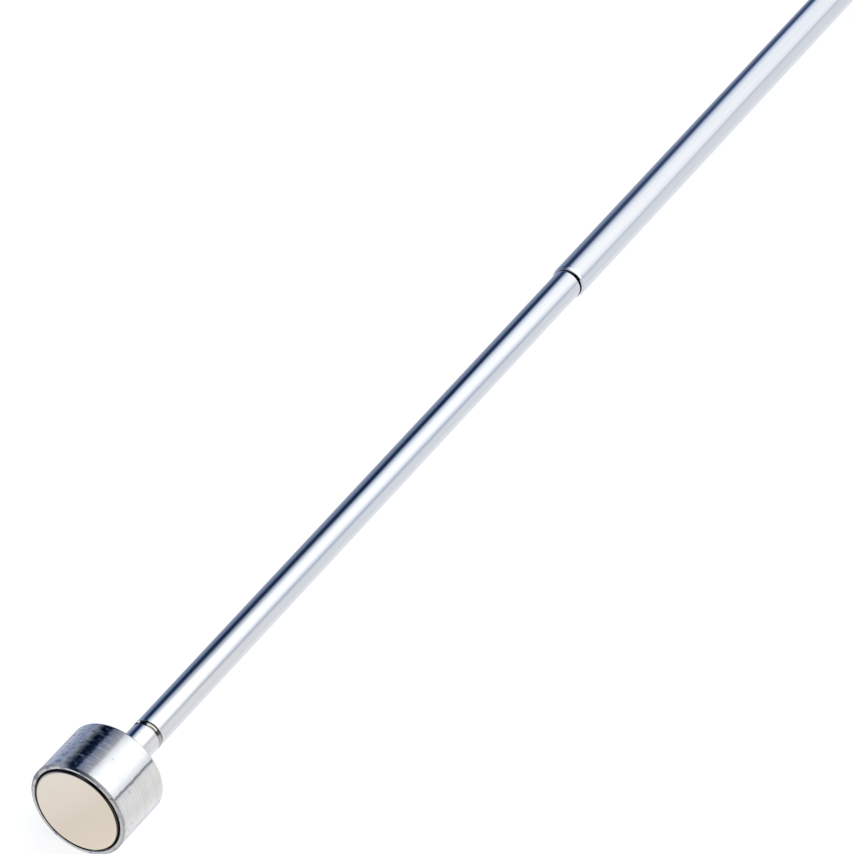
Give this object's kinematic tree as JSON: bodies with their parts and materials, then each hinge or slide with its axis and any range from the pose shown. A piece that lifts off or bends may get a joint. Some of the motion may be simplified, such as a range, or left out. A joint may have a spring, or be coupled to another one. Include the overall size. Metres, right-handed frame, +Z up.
{
  "type": "telescoping magnetic pick-up tool",
  "caption": "Pick-up tool with a round magnet in a steel cup on the end of telescoping chromed tubes, with a rubber-gripped handle and a hanging eye.",
  "frame": {"origin": "centre of the magnet's working face", "axes": "+X along the shaft from the magnet towards the handle, +Z up, +Y to the side; the hanging hole runs along Y"},
  "size_m": [0.5447, 0.019, 0.019],
  "materials": {
    "cup_steel": "turned steel with bright zinc plating, fine turning marks",
    "magnet_nickel": "satin nickel plating, warm",
    "resin": "dark potting resin",
    "neck_nickel": "bright nickel plating",
    "tube_chrome": "bright chrome, slightly blue, faint drawing lines",
    "collar_chrome": "polished chrome",
    "brass": "turned brass",
    "bronze": "rolled spring bronze",
    "moulded_plastic": "moulded, fine grain",
    "grip_rubber": "soft black rubber, fine matt grain",
    "cap_plastic": "moulded, fine spark grain",
    "pin_steel": "ground steel"
  },
  "bodies": {
    "handle": {"body_tube": "tube_chrome", "body_plug": "brass", "front_collar": "collar_chrome", "grip_core": "moulded_plastic", "rubber_grip": "grip_rubber", "end_cap": "cap_plastic", "end_cap_pin": "pin_steel"},
    "sleeve_4": {"friction_sleeve_4": "bronze"},
    "section_4": {"tube_4": "tube_chrome", "end_plug_4": "brass"},
    "sleeve_3": {"friction_sleeve_3": "bronze"},
    "section_3": {"tube_3": "tube_chrome", "end_plug_3": "brass"},
    "sleeve_2": {"friction_sleeve_2": "bronze"},
    "section_2": {"tube_2": "tube_chrome", "end_plug_2": "brass"},
    "sleeve_1": {"friction_sleeve_1": "bronze"},
    "section_1": {"tube_1": "tube_chrome", "end_plug_1": "brass", "neck_pin": "neck_nickel", "magnet_cup": "cup_steel", "magnet": "magnet_nickel", "magnet_bond": "resin"}
  },
  "joints": [
    {"name": "slide_4", "type": "slide", "parent": "handle", "child": "sleeve_4", "axis": [-1, 0, 0], "range_m": [0, 0.1747]},
    {"name": "turn_4", "type": "hinge", "parent": "sleeve_4", "child": "section_4", "pos_m": [0.5138, 0, 0], "axis": [-1, 0, 0], "continuous": true},
    {"name": "slide_3", "type": "slide", "parent": "section_4", "child": "sleeve_3", "axis": [-1, 0, 0], "range_m": [0, 0.1647]},
    {"name": "turn_3", "type": "hinge", "parent": "sleeve_3", "child": "section_3", "pos_m": [0.5008, 0, 0], "axis": [-1, 0, 0], "continuous": true},
    {"name": "slide_2", "type": "slide", "parent": "section_3", "child": "sleeve_2", "axis": [-1, 0, 0], "range_m": [-0.1547, 0]},
    {"name": "turn_2", "type": "hinge", "parent": "sleeve_2", "child": "section_2", "pos_m": [0.3331, 0, 0], "axis": [-1, 0, 0], "continuous": true},
    {"name": "slide_1", "type": "slide", "parent": "section_2", "child": "sleeve_1", "axis": [-1, 0, 0], "range_m": [-0.145, 0]},
    {"name": "turn_1", "type": "hinge", "parent": "sleeve_1", "child": "section_1", "pos_m": [0.1754, 0, 0], "axis": [-1, 0, 0], "continuous": true}
  ]
}
